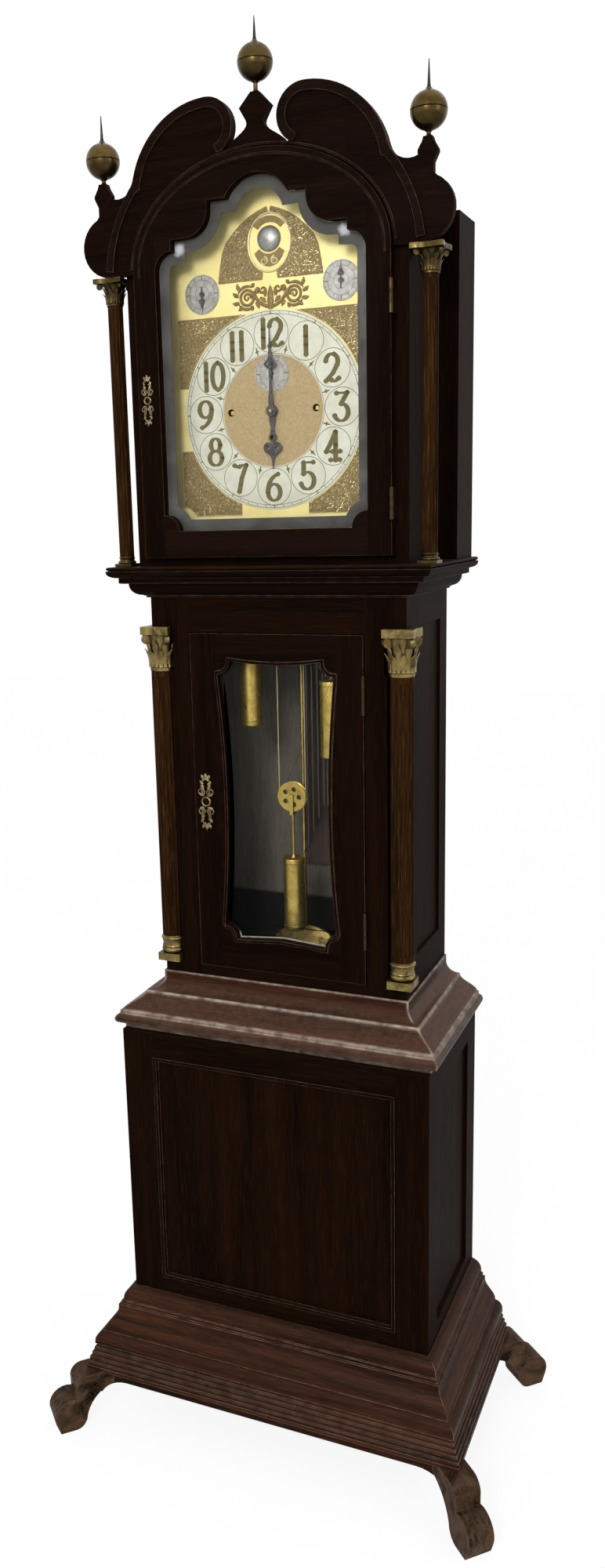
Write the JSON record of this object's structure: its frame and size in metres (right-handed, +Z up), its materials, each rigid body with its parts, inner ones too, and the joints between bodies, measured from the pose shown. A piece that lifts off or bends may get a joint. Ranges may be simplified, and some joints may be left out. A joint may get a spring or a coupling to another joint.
{
  "type": "longcase clock",
  "caption": "Tall weight-driven pendulum clock: arched hood with scrolled crest, glazed trunk door, splayed feet, and a geared movement behind a dial.",
  "frame": {"origin": "centre of the bounding box on the floor, under the feet", "axes": "+Z up, the dial faces -Y, +X to the viewer's right"},
  "size_m": [0.7948, 0.4832, 2.232],
  "materials": {
    "case_mahogany": "French-polished dark mahogany",
    "panel_mahogany": "figured mahogany veneer, polished",
    "moulding_mahogany": "polished mahogany mouldings, redder than the boards",
    "door_mahogany": "crotch mahogany, polished",
    "inner_pine": "bare pine, aged",
    "lacquered_brass": "lacquered, bright",
    "old_brass": "toned by age, satin",
    "dial_ring": "silvered, matt",
    "dial_gilt": "matted and gilt",
    "hand_steel": "blued",
    "mill_steel": "polished",
    "clear_glass": "clear, bevelled at the edge",
    "gut_line": "stranded bronze line"
  },
  "bodies": {
    "case": {"feet": "case_mahogany", "plinth_moulding": "moulding_mahogany", "base_floor": "inner_pine", "base_frame": "case_mahogany", "case_panels": "panel_mahogany", "base_cap_moulding": "moulding_mahogany", "trunk_frame": "case_mahogany", "trunk_columns": "moulding_mahogany", "trunk_column_brasses": "old_brass", "throat_moulding": "moulding_mahogany", "backboard": "inner_pine", "seatboard": "inner_pine", "trunk_hinge_leaves": "old_brass", "dial_plate": "dial_gilt", "chapter_ring": "dial_ring", "subsidiary_dials": "dial_ring", "dial_castings": "dial_gilt", "movement_frame": "old_brass", "chime_rods": "mill_steel", "going_cable": "gut_line", "strike_cable": "gut_line", "chime_cable": "gut_line"},
    "trunk_door": {"trunk_door_frame": "door_mahogany", "trunk_door_glass": "clear_glass", "trunk_escutcheon": "lacquered_brass", "trunk_door_hinge_leaves": "old_brass"},
    "hood": {"hood_frame": "case_mahogany", "hood_roof": "case_mahogany", "crest_board": "case_mahogany", "crest_mouldings": "moulding_mahogany", "hood_columns": "moulding_mahogany", "hood_column_brasses": "lacquered_brass", "finials": "old_brass", "hood_hinge_leaves": "old_brass"},
    "hood_door": {"hood_door_frame": "door_mahogany", "hood_door_glass": "clear_glass", "hood_escutcheon": "lacquered_brass", "hood_door_hinge_leaves": "old_brass"},
    "minute_arbor": {"minute_hand": "hand_steel", "centre_wheel": "old_brass"},
    "hour_pipe": {"hour_hand": "hand_steel", "hour_wheel": "old_brass"},
    "minute_wheel": {"minute_wheel": "old_brass"},
    "third_arbor": {"third_wheel": "old_brass"},
    "escape_arbor": {"escape_wheel": "old_brass", "seconds_hand": "hand_steel"},
    "great_wheel": {"great_wheel": "old_brass"},
    "chime_selector": {"chime_selector_hand": "hand_steel"},
    "strike_selector": {"strike_selector_hand": "hand_steel"},
    "anchor": {"anchor": "mill_steel"},
    "pendulum": {"pendulum": "lacquered_brass"},
    "going_barrel": {"going_barrel": "old_brass"},
    "strike_barrel": {"strike_barrel": "old_brass"},
    "chime_barrel": {"chime_barrel": "old_brass"},
    "going_weight": {"going_weight": "lacquered_brass"},
    "strike_weight": {"strike_weight": "lacquered_brass"},
    "chime_weight": {"chime_weight": "lacquered_brass"},
    "going_pulley": {"going_pulley": "lacquered_brass"},
    "strike_pulley": {"strike_pulley": "lacquered_brass"},
    "chime_pulley": {"chime_pulley": "lacquered_brass"}
  },
  "joints": [
    {"name": "trunk_door_swing", "type": "hinge", "parent": "case", "child": "trunk_door", "pos_m": [0.14475, -0.0515, 1.106], "axis": [0, 0, 1], "range_deg": [0, 105]},
    {"name": "hood_slide", "type": "slide", "parent": "case", "child": "hood", "axis": [0, -1, 0], "range_m": [0, 0.3]},
    {"name": "hood_door_swing", "type": "hinge", "parent": "hood", "child": "hood_door", "pos_m": [0.19975, -0.0824, 1.75], "axis": [0, 0, 1], "range_deg": [0, 100]},
    {"name": "minute_spin", "type": "hinge", "parent": "case", "child": "minute_arbor", "pos_m": [0, -0.02, 1.712], "axis": [0, 1, 0], "continuous": true},
    {"name": "hour_spin", "type": "hinge", "parent": "case", "child": "hour_pipe", "pos_m": [0, -0.02, 1.712], "axis": [0, 1, 0], "continuous": true},
    {"name": "minute_wheel_spin", "type": "hinge", "parent": "case", "child": "minute_wheel", "pos_m": [-0.02771, -0.008, 1.696], "axis": [0, 1, 0], "continuous": true},
    {"name": "third_spin", "type": "hinge", "parent": "case", "child": "third_arbor", "pos_m": [0.00868, 0.03, 1.74134], "axis": [0, 1, 0], "continuous": true},
    {"name": "escape_spin", "type": "hinge", "parent": "case", "child": "escape_arbor", "pos_m": [0, 0.03, 1.765], "axis": [0, 1, 0], "continuous": true},
    {"name": "great_wheel_spin", "type": "hinge", "parent": "case", "child": "great_wheel", "pos_m": [0, 0.038, 1.674], "axis": [0, 1, 0], "continuous": true},
    {"name": "chime_selector_turn", "type": "hinge", "parent": "case", "child": "chime_selector", "pos_m": [-0.11, -0.029, 1.885], "axis": [0, 1, 0], "range_deg": [-60, 60]},
    {"name": "strike_selector_turn", "type": "hinge", "parent": "case", "child": "strike_selector", "pos_m": [0.11, -0.029, 1.885], "axis": [0, 1, 0], "range_deg": [-60, 60]},
    {"name": "pendulum_swing", "type": "hinge", "parent": "case", "child": "pendulum", "pos_m": [0, 0.066, 1.7947], "axis": [0, 1, 0], "range_deg": [-2.5, 2.5]},
    {"name": "anchor_rock", "type": "hinge", "parent": "case", "child": "anchor", "pos_m": [0, 0.03, 1.7947], "axis": [0, 1, 0], "range_deg": [-2.5, 2.5]},
    {"name": "going_weight_travel", "type": "slide", "parent": "case", "child": "going_weight", "axis": [0, 0, 1], "range_m": [-0.727, 0.372], "deforming": ["going_cable"]},
    {"name": "going_barrel_spin", "type": "hinge", "parent": "case", "child": "going_barrel", "pos_m": [0, 0.017, 1.674], "axis": [0, 1, 0], "range_deg": [-3656, 1872]},
    {"name": "going_pulley_spin", "type": "hinge", "parent": "going_weight", "child": "going_pulley", "pos_m": [0, 0.017, 1.113], "axis": [0, 1, 0], "range_deg": [-1829, 937]},
    {"name": "strike_weight_travel", "type": "slide", "parent": "case", "child": "strike_weight", "axis": [0, 0, 1], "range_m": [-1.067, 0.032], "deforming": ["strike_cable"]},
    {"name": "strike_barrel_spin", "type": "hinge", "parent": "case", "child": "strike_barrel", "pos_m": [-0.0685, 0.017, 1.713], "axis": [0, 1, 0], "range_deg": [-5365, 163]},
    {"name": "strike_pulley_spin", "type": "hinge", "parent": "strike_weight", "child": "strike_pulley", "pos_m": [-0.0685, 0.017, 1.453], "axis": [0, 1, 0], "range_deg": [-2684, 83]},
    {"name": "chime_weight_travel", "type": "slide", "parent": "case", "child": "chime_weight", "axis": [0, 0, 1], "range_m": [-1.021, 0.078], "deforming": ["chime_cable"]},
    {"name": "chime_barrel_spin", "type": "hinge", "parent": "case", "child": "chime_barrel", "pos_m": [0.0685, 0.017, 1.713], "axis": [0, 1, 0], "range_deg": [-5134, 395]},
    {"name": "chime_pulley_spin", "type": "hinge", "parent": "chime_weight", "child": "chime_pulley", "pos_m": [0.0685, 0.017, 1.407], "axis": [0, 1, 0], "range_deg": [-2568, 199]}
  ],
  "couplings": [
    {"joint": "hour_spin", "follows": "minute_spin", "ratio": 0.083333},
    {"joint": "minute_wheel_spin", "follows": "minute_spin", "ratio": -1},
    {"joint": "third_spin", "follows": "minute_spin", "ratio": -7.5},
    {"joint": "escape_spin", "follows": "minute_spin", "ratio": 60},
    {"joint": "great_wheel_spin", "follows": "minute_spin", "ratio": -0.083333},
    {"joint": "anchor_rock", "follows": "pendulum_swing", "ratio": 1},
    {"joint": "going_barrel_spin", "follows": "going_weight_travel", "rad_per_m": 87.719},
    {"joint": "going_pulley_spin", "follows": "going_weight_travel", "rad_per_m": 43.86},
    {"joint": "strike_barrel_spin", "follows": "strike_weight_travel", "rad_per_m": 87.719},
    {"joint": "strike_pulley_spin", "follows": "strike_weight_travel", "rad_per_m": 43.86},
    {"joint": "chime_barrel_spin", "follows": "chime_weight_travel", "rad_per_m": 87.719},
    {"joint": "chime_pulley_spin", "follows": "chime_weight_travel", "rad_per_m": 43.86}
  ]
}
